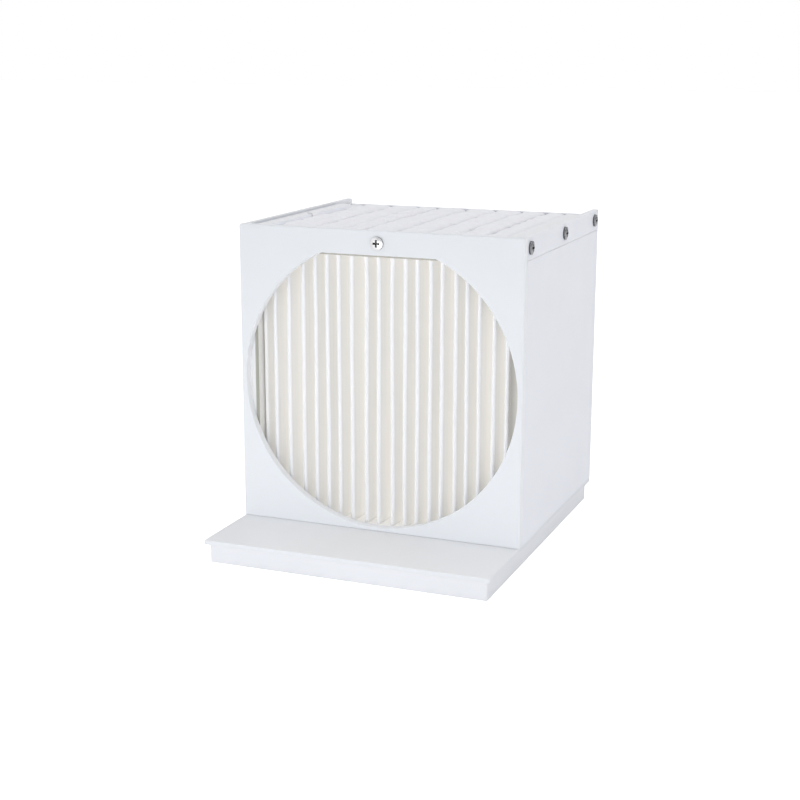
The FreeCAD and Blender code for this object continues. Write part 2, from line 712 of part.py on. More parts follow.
def pleated_pack():
    """Media of even thickness: one fold, from back tip to back tip, repeated along X."""
    body = new_body("pleated_pack")
    inner_size, outer_size = size.pleat_inner, size.pleat_inner + size.pleat_skin
    back_size = size.pleat_deep - outer_size
    inner, outer, pitch = inner_size.value, outer_size.value, size.pleat_pitch.value
    front_y, back_y = outer, back_size.value        # centres of the front and back folds
    # angle of the first flank's normal above +X
    run = back_y - front_y
    lean = (math.acos((outer + inner) / math.hypot(pitch / 2, run))
            - math.atan2(run, pitch / 2))
    quarter, half, full = math.pi / 2, math.pi, 2 * math.pi
    front, back_left, back_right = (pitch / 2, front_y), (0.0, back_y), (pitch, back_y)
    left_normal = (math.cos(lean), math.sin(lean))
    right_normal = (-math.cos(lean), math.sin(lean))

    def offset(centre, normal, distance):
        return (centre[0] + normal[0] * distance, centre[1] + normal[1] * distance)

    sketch = new_sketch(body, "XY", "fold")
    # front surface of the media, left to right
    f_left = add_arc(sketch, back_left, inner, lean, quarter)
    f_down = add_line(sketch, offset(back_left, left_normal, inner),
                      offset(front, left_normal, -outer))
    f_tip = add_arc(sketch, front, outer, half + lean, full - lean)
    f_up = add_line(sketch, offset(front, right_normal, -outer),
                    offset(back_right, right_normal, inner))
    f_right = add_arc(sketch, back_right, inner, quarter, half - lean)
    right_end = add_line(sketch, (pitch, back_y + inner), (pitch, back_y + outer))
    # back surface, right to left
    b_right = add_arc(sketch, back_right, outer, quarter, half - lean)
    b_down = add_line(sketch, offset(back_right, right_normal, outer),
                      offset(front, right_normal, -inner))
    b_tip = add_arc(sketch, front, inner, half + lean, full - lean)
    b_up = add_line(sketch, offset(front, left_normal, -inner),
                    offset(back_left, left_normal, outer))
    b_left = add_arc(sketch, back_left, outer, lean, quarter)
    left_end = add_line(sketch, (0, back_y + outer), (0, back_y + inner))
    relate(sketch,
           ("Tangent", f_left, START, f_down, START),
           ("Tangent", f_down, END, f_tip, START),
           ("Tangent", f_tip, END, f_up, START),
           ("Tangent", f_up, END, f_right, END),
           ("Coincident", f_right, START, right_end, START),
           ("Coincident", right_end, END, b_right, START),
           ("Tangent", b_right, END, b_down, START),
           ("Tangent", b_down, END, b_tip, END),
           ("Tangent", b_tip, START, b_up, START),
           ("Tangent", b_up, END, b_left, START),
           ("Coincident", b_left, END, left_end, START),
           ("Coincident", left_end, END, f_left, END),
           ("Coincident", f_left, CENTRE, b_left, CENTRE),
           ("Coincident", f_tip, CENTRE, b_tip, CENTRE),
           ("Coincident", f_right, CENTRE, b_right, CENTRE),
           ("PointOnObject", f_left, END, Y_AXIS),
           ("PointOnObject", b_left, END, Y_AXIS),
           ("PointOnObject", f_left, CENTRE, Y_AXIS),
           ("Vertical", f_right, START, f_right, CENTRE),
           ("Vertical", b_right, START, f_right, CENTRE),
           ("Equal", f_left, f_right), ("Equal", f_left, b_tip),
           ("Equal", f_tip, b_right), ("Equal", f_tip, b_left))
    bind(sketch, inner_size, "Radius", f_left)
    bind(sketch, outer_size, "Radius", f_tip)
    hold(sketch, "Y", f_left, CENTRE, back_size)
    hold(sketch, "Y", f_right, CENTRE, back_size)
    hold(sketch, "X", f_right, CENTRE, size.pleat_pitch)
    hold(sketch, "X", f_tip, CENTRE, size.pleat_pitch / 2)
    hold(sketch, "Y", f_tip, CENTRE, outer_size)
    fold = pad(body, sketch, PACK_HEIGHT - 2 * size.board_thin)
    row(body, [fold], sketch, size.pleat_count, size.pleat_pitch, "folds")
    place(body, -PACK_WIDTH / 2, FACE_Y + size.pack_back, PACK_Z + size.board_thin)


def pack_frame():
    """Top and bottom boards from the front plate to the partition; side boards set back."""
    thin, side, half = size.board_thin, size.board_side, PACK_WIDTH / 2
    flat = (PACK_WIDTH, PACK_END - PLATE, thin)
    upright = (side, PACK_END - size.board_set, PACK_HEIGHT)
    flat_y, upright_y = FACE_Y + PLATE, FACE_Y + size.board_set
    plain_blocks([
        ("pack_bottom_board", flat, (-half, flat_y, PACK_Z)),
        ("pack_top_board", flat, (-half, flat_y, LEDGE_Z + size.pack_top - thin)),
        ("pack_left_board", upright, (-half - side, upright_y, PACK_Z)),
        ("pack_right_board", upright, (half, upright_y, PACK_Z)),
    ])


def pack_partition():
    body = new_body("pack_partition")
    width, height, rim = PARTITION_WIDTH, PARTITION_HEIGHT, size.part_rim
    frame = outline_sketch(body, "XZ", "frame", rectangle(0, 0, width, height))
    pad(body, frame, size.part_thick)
    window = outline_sketch(body, "XZ", "window",
                            rectangle(rim, rim, width - rim, height - rim))
    cut(body, window, "window_cut")
    place(body, -width / 2, FACE_Y + PACK_END, PACK_Z)


def partition_gasket():
    """Foam ring behind the partition."""
    body = new_body("partition_gasket")
    foam, inset = size.foam_wide, size.foam_in
    width, height = PARTITION_WIDTH - 2 * inset, PARTITION_HEIGHT - 2 * inset
    sketch = outline_sketch(body, "XZ", "ring", rectangle(0, 0, width, height))
    add_outline(sketch, rectangle(foam, foam, width - foam, height - foam))
    pad(body, sketch, size.foam_thick)
    place(body, -width / 2, FACE_Y + PACK_END + size.part_thick, PACK_Z + inset)


# ---------------------------------------------------------------- stops behind the foam
STOP_Y = FACE_Y + size.stop_back
HEADER_UP = HEIGHT - size.rail_deep - size.header_height    # header's underside over the ledge


def stop_battens():
    wide, thick = size.stop_wide, size.stop_thick
    table = [(side + "_stop_batten", (wide, thick, HEADER_UP),
              (side_x(side, WALL, wide), STOP_Y, LEDGE_Z)) for side in SIDES]
    table.append(("bottom_stop_batten", (INSIDE_WIDTH - 2 * wide, thick, wide),
                  (LEFT + WALL + wide, STOP_Y, LEDGE_Z)))
    plain_blocks(table)


def partition_header():
    """Closes the gap over the partition, stepped up between the rails' flanges."""
    body = new_body("partition_header")
    width, low = INSIDE_WIDTH, size.header_height
    high, step = low + size.flange_thick, RAIL_WIDTH + size.header_gap
    face = [(0, 0), (width, 0), (width, low), (width - step, low),
            (width - step, high), (step, high), (step, low), (0, low)]
    pad(body, outline_sketch(body, "XZ", "face", face), size.stop_thick)
    place(body, -width / 2, STOP_Y, LEDGE_Z + HEADER_UP)


# ---------------------------------------------------------------- build, check, export
def check_document():
    faults = ["%s: %s" % (o.Name, o.State) for o in doc.Objects
              if "Invalid" in o.State or "Error" in o.State]
    for body, solids in PIECES:
        shape = body.Shape
        if shape.isNull() or not shape.isValid():
            faults.append(body.Label + ": null or invalid shape")
        elif len(shape.Solids) != solids:
            faults.append("%s: %d solids, expected %d"
                          % (body.Label, len(shape.Solids), solids))
        elif shape.Volume < 1:
            faults.append(body.Label + ": no volume")
    if faults:
        raise RuntimeError("; ".join(faults))


for build in (base_plate, skirt,
              side_walls, rear_wall, clamp_strips,
              strip_screws, front_plate_screw, spacer_washers,
              rails, front_crossbar, rear_crossbar, pad_support_grid, outlet_pad,
              front_plate, pleated_pack, pack_frame, pack_partition, partition_gasket,
              stop_battens, partition_header):
    build()

doc.recompute()
check_document()
os.makedirs("parts", exist_ok=True)
for body, _ in PIECES:
    body.Shape.exportStep(os.path.join("parts", body.Label + ".step"))
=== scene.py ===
"""Box-shaped filter housing of white sheet, with a pleated cassette and a fleece pad on top.

X runs left to right, -Y is the front, +Z is up and the floor is z = 0. The pleats' folds
stand upright behind the front; the pad's stuffed strips lie side by side, front to rear.
Mesh sections work in millimetres; materials and stage work in metres.
"""

import math

import bpy
import numpy as np
from mathutils import Matrix, Vector, noise

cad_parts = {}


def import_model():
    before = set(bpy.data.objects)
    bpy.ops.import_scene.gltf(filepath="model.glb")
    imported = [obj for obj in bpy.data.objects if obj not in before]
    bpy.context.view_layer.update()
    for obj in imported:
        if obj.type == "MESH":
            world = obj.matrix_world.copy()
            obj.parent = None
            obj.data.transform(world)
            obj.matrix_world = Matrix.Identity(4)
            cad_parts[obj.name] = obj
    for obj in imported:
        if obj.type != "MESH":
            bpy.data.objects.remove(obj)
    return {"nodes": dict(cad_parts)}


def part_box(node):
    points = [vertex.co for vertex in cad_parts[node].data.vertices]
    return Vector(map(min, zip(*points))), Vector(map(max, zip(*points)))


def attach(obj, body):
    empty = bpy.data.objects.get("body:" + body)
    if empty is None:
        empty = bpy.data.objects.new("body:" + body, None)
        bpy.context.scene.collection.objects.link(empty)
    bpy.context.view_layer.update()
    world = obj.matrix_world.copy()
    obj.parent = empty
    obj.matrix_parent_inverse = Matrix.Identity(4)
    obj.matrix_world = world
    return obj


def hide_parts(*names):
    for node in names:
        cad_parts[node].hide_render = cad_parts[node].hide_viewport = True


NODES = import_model()["nodes"]
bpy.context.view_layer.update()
MM = 0.001
X, Y, Z = 0, 1, 2
scene = bpy.context.scene


# ---------------------------------------------------------------- node helpers
class Graph:
    """The node tree of a material or world, written as calls that hand sockets on."""

    def __init__(self, block, output="OutputMaterial"):
        self.block = block
        block.use_nodes = True
        self.tree = block.node_tree
        self.tree.nodes.clear()
        self.out = self.node(output)
        self.shared = {}

    def put(self, socket, value):
        """Links a socket or sets a value; None leaves the default, and RGB gains an alpha of 1."""
        if isinstance(value, bpy.types.NodeSocket):
            self.tree.links.new(value, socket)
        elif value is not None:
            if hasattr(value, "__len__") and len(socket.default_value) == 4 and len(value) == 3:
                value = (*value, 1.0)
            socket.default_value = value

    def node(self, kind, props=None, **inputs):
        """Adds a node. Inputs go by name, with _ for a space, or by number as i0, i1..."""
        n = self.tree.nodes.new("ShaderNode" + kind)
        for key, value in (props or {}).items():
            setattr(n, key, value)
        for key, value in inputs.items():
            by_number = key[0] == "i" and key[1:].isdigit()
            self.put(n.inputs[int(key[1:]) if by_number else key.replace("_", " ")], value)
        return n

    def once(self, kind, output):
        """An output of a node that the whole tree shares."""
        if kind not in self.shared:
            self.shared[kind] = self.node(kind)
        return self.shared[kind].outputs[output]

    def coords(self):
        return self.once("TexCoord", "Object")

    def normal(self):
        return self.once("NewGeometry", "Normal")

    def mapped(self, scale=(1, 1, 1), offset=(0, 0, 0), turn=(0, 0, 0), vector=None):
        return self.node("Mapping", Vector=vector or self.coords(), Location=offset,
                         Rotation=turn, Scale=scale).outputs[0]

    def noise(self, scale=1.0, detail=3, rough=0.5, vector=None):
        return self.node("TexNoise", Vector=vector or self.coords(), Scale=scale, Detail=detail,
                         Roughness=rough).outputs["Fac"]

    def voronoi(self, scale, vector=None):
        return self.node("TexVoronoi", Vector=vector or self.coords(),
                         Scale=scale).outputs["Distance"]

    def math(self, operation, a, b=0.0, clamp=False):
        props = {"operation": operation, "use_clamp": clamp}
        return self.node("Math", props, i0=a, i1=b).outputs[0]

    def times(self, a, b):
        return self.math("MULTIPLY", a, b)

    def span(self, value, over, to=(0.0, 1.0)):
        """Maps the range `over` onto the range `to`, clamped."""
        return self.node("MapRange", {"clamp": True}, Value=value, i1=over[0], i2=over[1],
                         i3=to[0], i4=to[1]).outputs[0]

    def blend(self, fac, a, b):
        return self.node("Mix", {"data_type": "RGBA"}, i0=fac, i6=a, i7=b).outputs[2]

    def split(self, vector):
        return self.node("SeparateXYZ", Vector=vector).outputs

    def rounded(self, radius):
        """The normal with edges rounded to a radius in mm, and a mask that is 1 on edges."""
        smooth = self.node("Bevel", {"samples": 4}, Radius=radius * MM).outputs[0]
        turn = self.node("VectorMath", {"operation": "DOT_PRODUCT"}, i0=smooth, i1=self.normal())
        return smooth, self.span(turn.outputs["Value"], over=(0.995, 0.80))

    def bump(self, height, depth, strength=1.0, normal=None):
        """Relief with its depth in mm, laid over `normal`."""
        return self.node("Bump", Height=height, Distance=depth * MM, Strength=strength,
                         Normal=normal).outputs[0]

    def finish(self, shader):
        self.tree.links.new(shader.outputs[0], self.out.inputs[0])
        return self.block

    def done(self, **inputs):
        return self.finish(self.node("BsdfPrincipled", **inputs))


def new_material(name):
    return Graph(bpy.data.materials.new(name))


def shade(tint, factor):
    return tuple(min(1, c * factor) for c in tint)


# ---------------------------------------------------------------- materials
# Spans turn a texture into a mask: `over` sets its threshold and `to` its strength.
def sheet_plastic(name, tint, cut_axis, cut_painted_tint, seed, radius=0.45, soak=0.0, painted_top_shade=None,
                  painted_inner_glow=None):
    """Satin white sheet. Faces along cut_axis are its own skin; the rest are sawn edges.

    radius: edge rounding, mm. soak: subsurface weight. fade: tint factors low and high up, a painted
    shade.
    lit: painted light, a glow of the +X face, and the y it ends at.
    """
    g = new_material(name)
    off = (seed * 0.37, seed * 0.71, seed * 0.13)
    smooth, edge = g.rounded(radius)
    facing = g.math("ABSOLUTE", g.split(g.normal())[cut_axis])
    cut = g.span(facing, over=(0.75, 0.6))
    cloud = g.noise(scale=14, detail=4, rough=0.55, vector=g.mapped(offset=off))
    if painted_top_shade:    # painted shade: greyer toward the top
        height = g.span(g.split(g.coords())[Z], over=(0.040, 0.190))
        base = g.blend(height, shade(tint, painted_top_shade[0]), shade(tint, painted_top_shade[1]))
        base = g.blend(g.span(cloud, over=(0.3, 0.7), to=(0.0, 0.012)), base, (0.6, 0.6, 0.6))
    else:
        fine = g.noise(scale=260, vector=g.mapped(offset=off))
        base = g.blend(g.span(cloud, over=(0.3, 0.7)), shade(tint, 0.985), shade(tint, 1.012))
        base = g.blend(g.span(fine, over=(0.58, 0.75), to=(0, 0.10)), base, shade(tint, 0.96))
    # patches of dust specks
    specks = g.span(g.voronoi(420, g.mapped(offset=off)), over=(0.085, 0.05), to=(0.0, 0.22))
    patches = g.noise(scale=35, detail=2, vector=g.mapped(offset=(off[1], off[0], off[2])))
    dust = g.times(specks, g.span(patches, over=(0.5, 0.62)))
    base = g.blend(dust, base, (0.70, 0.68, 0.64))
    # sawn edges take their own tint, partly painted light: lighter or darker than the skin for how
    # light falls on tops and edges
    if cut_painted_tint:
        base = g.blend(cut, base, cut_painted_tint)
    # painted highlight: rounded edges lighter, more on the skin than on sawn edges
    painted_edge_highlight = g.times(edge, g.span(cut, over=(0.0, 1.0), to=(0.5, 0.2)))
    base = g.blend(painted_edge_highlight, base, (0.90, 0.905, 0.915))
    # skin: faint orange peel, grain and scratches; sawn edge: chatter
    peel = g.noise(scale=1150, detail=2, vector=g.mapped(offset=off))
    grain = g.noise(scale=5200, detail=2)
    scratch = g.noise(scale=90, detail=5, rough=0.7,
                      vector=g.mapped((1.0, 22.0, 1.4), off, turn=(0.25, 0.1, 0.5)))
    scratch = g.span(scratch, over=(0.60, 0.70))
    saw = g.noise(scale=1500, rough=0.6, vector=g.mapped(offset=off))
    relief = g.bump(peel, depth=0.010, strength=0.9, normal=smooth)
    relief = g.bump(grain, depth=0.004, strength=0.8, normal=relief)
    relief = g.bump(scratch, depth=-0.004, strength=0.6, normal=relief)
    relief = g.bump(g.times(saw, cut), depth=0.03, strength=0.9, normal=relief)
    # rougher where sawn or scratched, smoother on rounded edges
    handled = g.noise(scale=60, detail=4, rough=0.6, vector=g.mapped(offset=off))
    rough = g.span(handled, over=(0.25, 0.75), to=(0.37, 0.49))
    rough = g.math("ADD", rough, g.times(cut, 0.16))
    rough = g.math("ADD", rough, g.times(scratch, 0.09))
    rough = g.math("SUBTRACT", rough, g.times(edge, 0.06), clamp=True)
    glow = 0.0
    if painted_inner_glow:     # painted light: a glow on the +X face, standing in for daylight that soaks through the sheet
        strength, end = painted_inner_glow
        inner = g.span(g.split(g.normal())[X], over=(0.6, 0.8), to=(0.0, strength))
        reach = g.span(g.split(g.coords())[Y], over=(end - 0.0012, end), to=(1.0, 0.0))
        glow = g.times(inner, reach)
    return g.done(Base_Color=base, Roughness=rough, Normal=relief, IOR=1.48,
                  Specular_IOR_Level=0.42, Emission_Color=(1.0, 1.0, 1.0), Emission_Strength=glow,
                  Subsurface_Weight=soak, Subsurface_Radius=(1.0, 1.0, 1.0),
                  Subsurface_Scale=0.003)


def fleece_cloth():
    """Polyester fleece: matted fibres, soft nap, and painted shade greying it down in the seams."""
    g = new_material("fleece")
    height = g.split(g.coords())[Z]
    clump = g.noise(scale=260, detail=5, rough=0.62, vector=g.mapped((1, 0.8, 1)))
    # two crossing fibre directions, both bent by the same warp
    warp = g.node("TexNoise", Vector=g.coords(), Scale=320.0, Detail=2.0).outputs["Color"]
    bent = g.node("VectorMath", {"operation": "MULTIPLY_ADD"}, i0=warp, i1=(0.004, 0.004, 0.004),
                  i2=g.coords()).outputs[0]
    fibres = [g.noise(rough=0.7, vector=g.mapped(scale, turn=(0, 0, turn), vector=bent))
              for scale, turn in (((3600, 520, 2400), 0.5), ((560, 3400, 2400), -0.7))]
    fibre = g.math("MAXIMUM", *fibres)
    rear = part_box("outlet_pad")[1].y
    # painted shade: greyer low down in the seams between strips, weaker near the rear
    low = g.span(height, over=(0.1900, 0.1946), to=(1.0, 0.0))
    low = g.times(low, g.span(g.split(g.coords())[Y], over=(rear - 12 * MM, rear - 3 * MM),
                              to=(1.0, 0.35)))
    base = g.blend(g.span(clump, over=(0.3, 0.7)), (0.875, 0.875, 0.905), (0.94, 0.94, 0.97))
    base = g.blend(g.span(fibre, over=(0.5, 0.72), to=(0, 0.45)), base, (0.965, 0.965, 0.985))
    base = g.blend(g.times(low, 0.62), base, (0.53, 0.525, 0.54))
    relief = g.bump(clump, depth=0.12, strength=0.7)
    relief = g.bump(fibre, depth=0.11, strength=0.8, normal=relief)
    return g.done(Base_Color=base, Roughness=0.93, Normal=relief, Sheen_Weight=0.35,
                  Sheen_Roughness=0.5, Specular_IOR_Level=0.2, Subsurface_Weight=0.25,
                  Subsurface_Radius=(1.0, 0.95, 0.9), Subsurface_Scale=0.0012)


def pleat_paper():
    """Matte, faintly fibrous media: a painted highlight, white, on the front creases; warmer between,
    painted lighter deeper in the folds.
    """
    g = new_material("pleat_media")
    y = g.split(g.coords())[Y]
    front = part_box("pleated_pack")[0].y
    crease_highlight = g.span(y, over=(front + 1.15 * MM, front + 2.3 * MM), to=(1.0, 0.0))
    deep = g.span(y, over=(front + 2.5 * MM, front + 15 * MM))
    mottle = g.noise(scale=170, detail=5, rough=0.6)
    streak = g.noise(detail=4, rough=0.6, vector=g.mapped((420, 420, 14)))
    fibre = g.noise(detail=4, rough=0.7, vector=g.mapped((2600, 2600, 700), turn=(0.3, 0.2, 0.4)))
    press = g.noise(detail=2, vector=g.mapped((40, 40, 900)))
    # painted light: flanks darker just behind the creases and lighter deeper in the folds, against the
    # shade there
    flank = g.blend(deep, (0.835, 0.826, 0.800), (0.86, 0.845, 0.82))
    flank = g.blend(g.span(mottle, over=(0.35, 0.7), to=(0, 0.30)), flank, (0.84, 0.83, 0.80))
    flank = g.blend(g.span(streak, over=(0.52, 0.72), to=(0, 0.22)), flank, (0.69, 0.68, 0.64))
    # painted highlight: the creases whiter
    base = g.blend(crease_highlight, flank, (0.905, 0.91, 0.925))
    base = g.blend(g.span(fibre, over=(0.55, 0.75), to=(0, 0.20)), base, (0.95, 0.945, 0.93))
    relief = g.bump(mottle, depth=0.06, strength=0.8)
    relief = g.bump(fibre, depth=0.05, strength=0.8, normal=relief)
    relief = g.bump(press, depth=0.02, strength=0.6, normal=relief)
    # painted light: a glow for light that soaks from fold to fold, strongest deep down, weakest on the
    # creases
    glow = g.math("ADD", g.span(deep, over=(0.0, 1.0), to=(0.075, 0.19)), g.times(crease_highlight, -0.06))
    return g.done(Base_Color=base, Roughness=0.88, Normal=relief, Specular_IOR_Level=0.25,
                  Sheen_Weight=0.1, Emission_Color=(1.0, 0.992, 0.975), Emission_Strength=glow)


def screw_metal(name, light, dark, painted_rim, rough):
    """Plated steel, with painted shade, near black, in the recesses and a painted reflection on the
    rounded edges; rough is the range of its roughness.
    """
    g = new_material(name)
    smooth, edge = g.rounded(radius=0.14)
    tarnish = g.noise(scale=900, detail=4, rough=0.6)
    hair = g.noise(rough=0.7, vector=g.mapped((9000, 9000, 900), turn=(0.6, 0.3, 0.9)))
    # painted shade: near black, less metallic and rougher where ambient occlusion finds a recess
    shut = g.node("AmbientOcclusion", {"samples": 12}, Distance=2.6 * MM).outputs["AO"]
    deep = g.span(shut, over=(0.55, 0.80), to=(1.0, 0.0))
    base = g.blend(g.span(tarnish, over=(0.35, 0.7)), light, dark)
    # painted reflection: a band of the rim tint along the rounded edges
    base = g.blend(g.times(edge, 0.6), base, painted_rim)
    base = g.blend(deep, base, (0.006, 0.006, 0.007))
    roughness = g.math("ADD", g.span(tarnish, over=(0.3, 0.75), to=rough), g.times(deep, 0.4))
    relief = g.bump(hair, depth=0.003, strength=0.7, normal=smooth)
    relief = g.bump(tarnish, depth=0.010, strength=0.5, normal=relief)
    return g.done(Base_Color=base, Metallic=g.span(deep, over=(0.0, 1.0), to=(1.0, 0.2)),
                  Roughness=roughness, Normal=relief)


def board(name, soak, edge, painted_bright_outside=None):
    """Grey-white card with fibre flecks. Its front edge has the tint `edge`, or goes from
    `painted_bright_outside` outside to `edge` near the folds, a painted shade; the other faces glow by
    `soak`, a painted light."""
    g = new_material(name)
    fleck = g.noise(scale=900, detail=5, rough=0.7)
    cloud = g.noise(scale=40)
    cut = g.span(g.split(g.normal())[Y], over=(-0.5, -0.8))
    base = g.blend(g.span(cloud, over=(0.3, 0.7)), (0.76, 0.75, 0.725), (0.82, 0.81, 0.79))
    base = g.blend(g.span(fleck, over=(0.6, 0.72), to=(0, 0.5)), base, (0.60, 0.57, 0.52))
    # painted shade: darker toward the middle, where |x| is small, next to the folds
    if painted_bright_outside:
        fold_shade_over, outside, inside = (0.0836, 0.0829), painted_bright_outside, edge
    else:
        fold_shade_over, outside, inside = (0.0850, 0.0822), edge, shade(edge, 0.70)
    fold_shade = g.span(g.math("ABSOLUTE", g.split(g.coords())[X]), over=fold_shade_over)
    base = g.blend(cut, base, g.blend(fold_shade, outside, inside))
    # painted light: every face but the front edge glows by soak
    return g.done(Base_Color=base, Roughness=0.9, Normal=g.bump(fleck, depth=0.05, strength=0.8),
                  Specular_IOR_Level=0.2, Emission_Color=(1.0, 0.985, 0.96),
                  Emission_Strength=g.span(cut, over=(0.0, 1.0), to=(soak, 0.0)))


def foam():
    """Black foam with open pores."""
    g = new_material("foam_seal")
    pore = g.voronoi(1500)
    cloud = g.noise(scale=120)
    base = g.blend(g.span(cloud, over=(0.3, 0.7)), (0.022, 0.022, 0.024), (0.045, 0.045, 0.047))
    relief = g.bump(g.span(pore, over=(0.0, 0.5)), depth=0.12, strength=0.9)
    return g.done(Base_Color=base, Roughness=0.92, Normal=relief, Specular_IOR_Level=0.2)


def washer_nylon():
    """Milky moulded nylon."""
    g = new_material("nylon_washer")
    smooth = g.node("Bevel", {"samples": 4}, Radius=0.25 * MM).outputs[0]
    grain = g.noise(scale=2600)
    cloud = g.noise(scale=90)
    base = g.blend(g.span(cloud, over=(0.3, 0.7)), (0.60, 0.60, 0.585), (0.70, 0.70, 0.68))
    return g.done(Base_Color=base, Roughness=g.span(cloud, over=(0.3, 0.7), to=(0.42, 0.6)),
                  Normal=g.bump(grain, depth=0.015, strength=0.8, normal=smooth),
                  Subsurface_Weight=0.2, Subsurface_Radius=(1.0, 1.0, 0.95),
                  Subsurface_Scale=0.001)


def tape_weave():
    """White woven tape."""
    g = new_material("tab_tape")
    threads = [g.node("TexWave", {"wave_type": "BANDS", "bands_direction": direction},
                      Vector=g.coords(), Scale=420.0, Distortion=0.4).outputs["Fac"]
               for direction in "YX"]
    weave = g.math("MAXIMUM", *threads)
    base = g.blend(g.span(weave, over=(0.2, 0.9)), (0.86, 0.86, 0.87), (0.96, 0.96, 0.965))
    return g.done(Base_Color=base, Roughness=0.85,
                  Normal=g.bump(weave, depth=0.12, strength=0.8), Sheen_Weight=0.2)


# ---------------------------------------------------------------- CAD pieces
LEDGE = (0.832, 0.836, 0.846)
PLATE = (0.790, 0.814, 0.839)
WALL = (0.835, 0.850, 0.890)
SKIRT = (0.800, 0.812, 0.838)
# sawn-edge tints, partly painted light: the tops of walls and rails lightened for how light falls on
# them
CUT_PAINTED_LIGHT = (0.93, 0.935, 0.945)
RAIL_CUT_PAINTED_LIGHT = (0.915, 0.92, 0.93)
# piece, axis across the sheet, tint, tint of its sawn edges (partly painted light); the row number
# seeds the texture
SHEETS = [
    ("front_plate", Y, PLATE, (0.87, 0.885, 0.90)),
    ("base_plate", Z, LEDGE, (0.78, 0.797, 0.825)),
    ("skirt_front", Y, SKIRT, None), ("skirt_rear", Y, SKIRT, None),
    ("skirt_left", X, SKIRT, None), ("skirt_right", X, SKIRT, None),
    ("left_side_wall", X, WALL, CUT_PAINTED_LIGHT), ("right_side_wall", X, WALL, CUT_PAINTED_LIGHT),
    ("rear_wall", Y, WALL, CUT_PAINTED_LIGHT),
    ("left_clamp_strip", X, WALL, CUT_PAINTED_LIGHT), ("right_clamp_strip", X, WALL, CUT_PAINTED_LIGHT),
    ("left_rail", X, WALL, RAIL_CUT_PAINTED_LIGHT), ("right_rail", X, WALL, RAIL_CUT_PAINTED_LIGHT),
    ("front_crossbar", Y, WALL, WALL), ("rear_crossbar", Y, WALL, WALL),
    ("pad_support_grid", Z, WALL, CUT_PAINTED_LIGHT), ("pack_partition", Y, WALL, CUT_PAINTED_LIGHT),
    ("left_stop_batten", Y, WALL, CUT_PAINTED_LIGHT), ("right_stop_batten", Y, WALL, CUT_PAINTED_LIGHT),
    ("bottom_stop_batten", Y, WALL, CUT_PAINTED_LIGHT), ("partition_header", Y, WALL, CUT_PAINTED_LIGHT),
]
SHEET_EXTRAS = {
    # painted shade: the front plate lighter low down and greyer at the top
    "front_plate": dict(painted_top_shade=(1.045, 0.955)),
    # painted light: a glow on the inner face of the left wall and the left rail
    "left_side_wall": dict(radius=0.25, soak=0.35, painted_inner_glow=(0.26, -0.0446)),
    "right_side_wall": dict(radius=0.25),
    "left_clamp_strip": dict(radius=0.25),
    "right_clamp_strip": dict(radius=0.25),
    "left_rail": dict(soak=0.35, painted_inner_glow=(0.09, 0.2)),
    "right_rail": dict(soak=0.35),
}


def dress(material, *pieces):
    for name in pieces:
        materials = NODES[name].data.materials
        materials.clear()
        materials.append(material)


def dress_cad():
    for seed, (name, axis, tint, cut_painted_tint) in enumerate(SHEETS, 1):
        dress(sheet_plastic("sheet_" + name, tint, axis, cut_painted_tint, seed,
                            **SHEET_EXTRAS.get(name, {})), name)
    # front screw: its darker edge tint is a painted dark reflection
    dress(screw_metal("bright_screw", light=(0.88, 0.88, 0.875), dark=(0.80, 0.80, 0.795),
                      painted_rim=(0.66, 0.66, 0.66), rough=(0.24, 0.36)), "front_plate_screw")
    # side screws: the low tones are a painted dark reflection, the light edge tint a painted highlight
    dress(screw_metal("dark_reflection_screw", light=(0.42, 0.42, 0.43), dark=(0.24, 0.24, 0.245),
                      painted_rim=(0.90, 0.90, 0.90), rough=(0.14, 0.26)),
          "left_strip_screws", "right_strip_screws")
    # painted light: the top and bottom boards glow by soak where they show between the folds
    dress(board("flat_board", soak=0.22, edge=(0.66, 0.635, 0.575)),
          "pack_top_board", "pack_bottom_board")
    # painted shade: the left board's front edge dark near the folds and bright outside
    dress(board("left_board", soak=0.02, edge=(0.40, 0.40, 0.345), painted_bright_outside=(0.84, 0.845, 0.86)),
          "pack_left_board")
    dress(board("right_board", soak=0.0, edge=(0.60, 0.58, 0.53)), "pack_right_board")
    dress(foam(), "partition_gasket")
    dress(washer_nylon(), "left_spacer_washers", "right_spacer_washers")


dress_cad()


# ---------------------------------------------------------------- mesh helpers
def mesh_object(name, verts, faces):
    mesh = bpy.data.meshes.new(name)
    mesh.from_pydata(verts, [], faces)
    mesh.update()
    o = bpy.data.objects.new(name, mesh)
    scene.collection.objects.link(o)
    return o


def piece(name, verts, faces, material, body):
    """A smooth-shaded part of the product, from points in mm."""
    o = mesh_object(name, [tuple(c * MM for c in v) for v in verts], faces)
    o.data.materials.append(material)
    o.data.polygons.foreach_set("use_smooth", [True] * len(o.data.polygons))
    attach(o, body)
    return o


def grid_faces(rows, across):
    """Quads between rows + 1 lines of `across` points each."""
    return [(a, a + 1, a + across + 1, a + across)
            for j in range(rows) for a in range(j * across, (j + 1) * across - 1)]


def thicken(o, thickness):
    skin = o.modifiers.new("skin", "SOLIDIFY")
    skin.thickness, skin.offset = thickness * MM, 0.0


def box_mm(name):
    lo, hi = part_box(name)
    return lo / MM, hi / MM


def sway(size, x, y, z):
    """Smooth noise up to about +-size. Factors on the place set how fast it changes."""
    return size * noise.noise(Vector((x, y, z)))


def unit(value):
    return min(1.0, max(0.0, value))


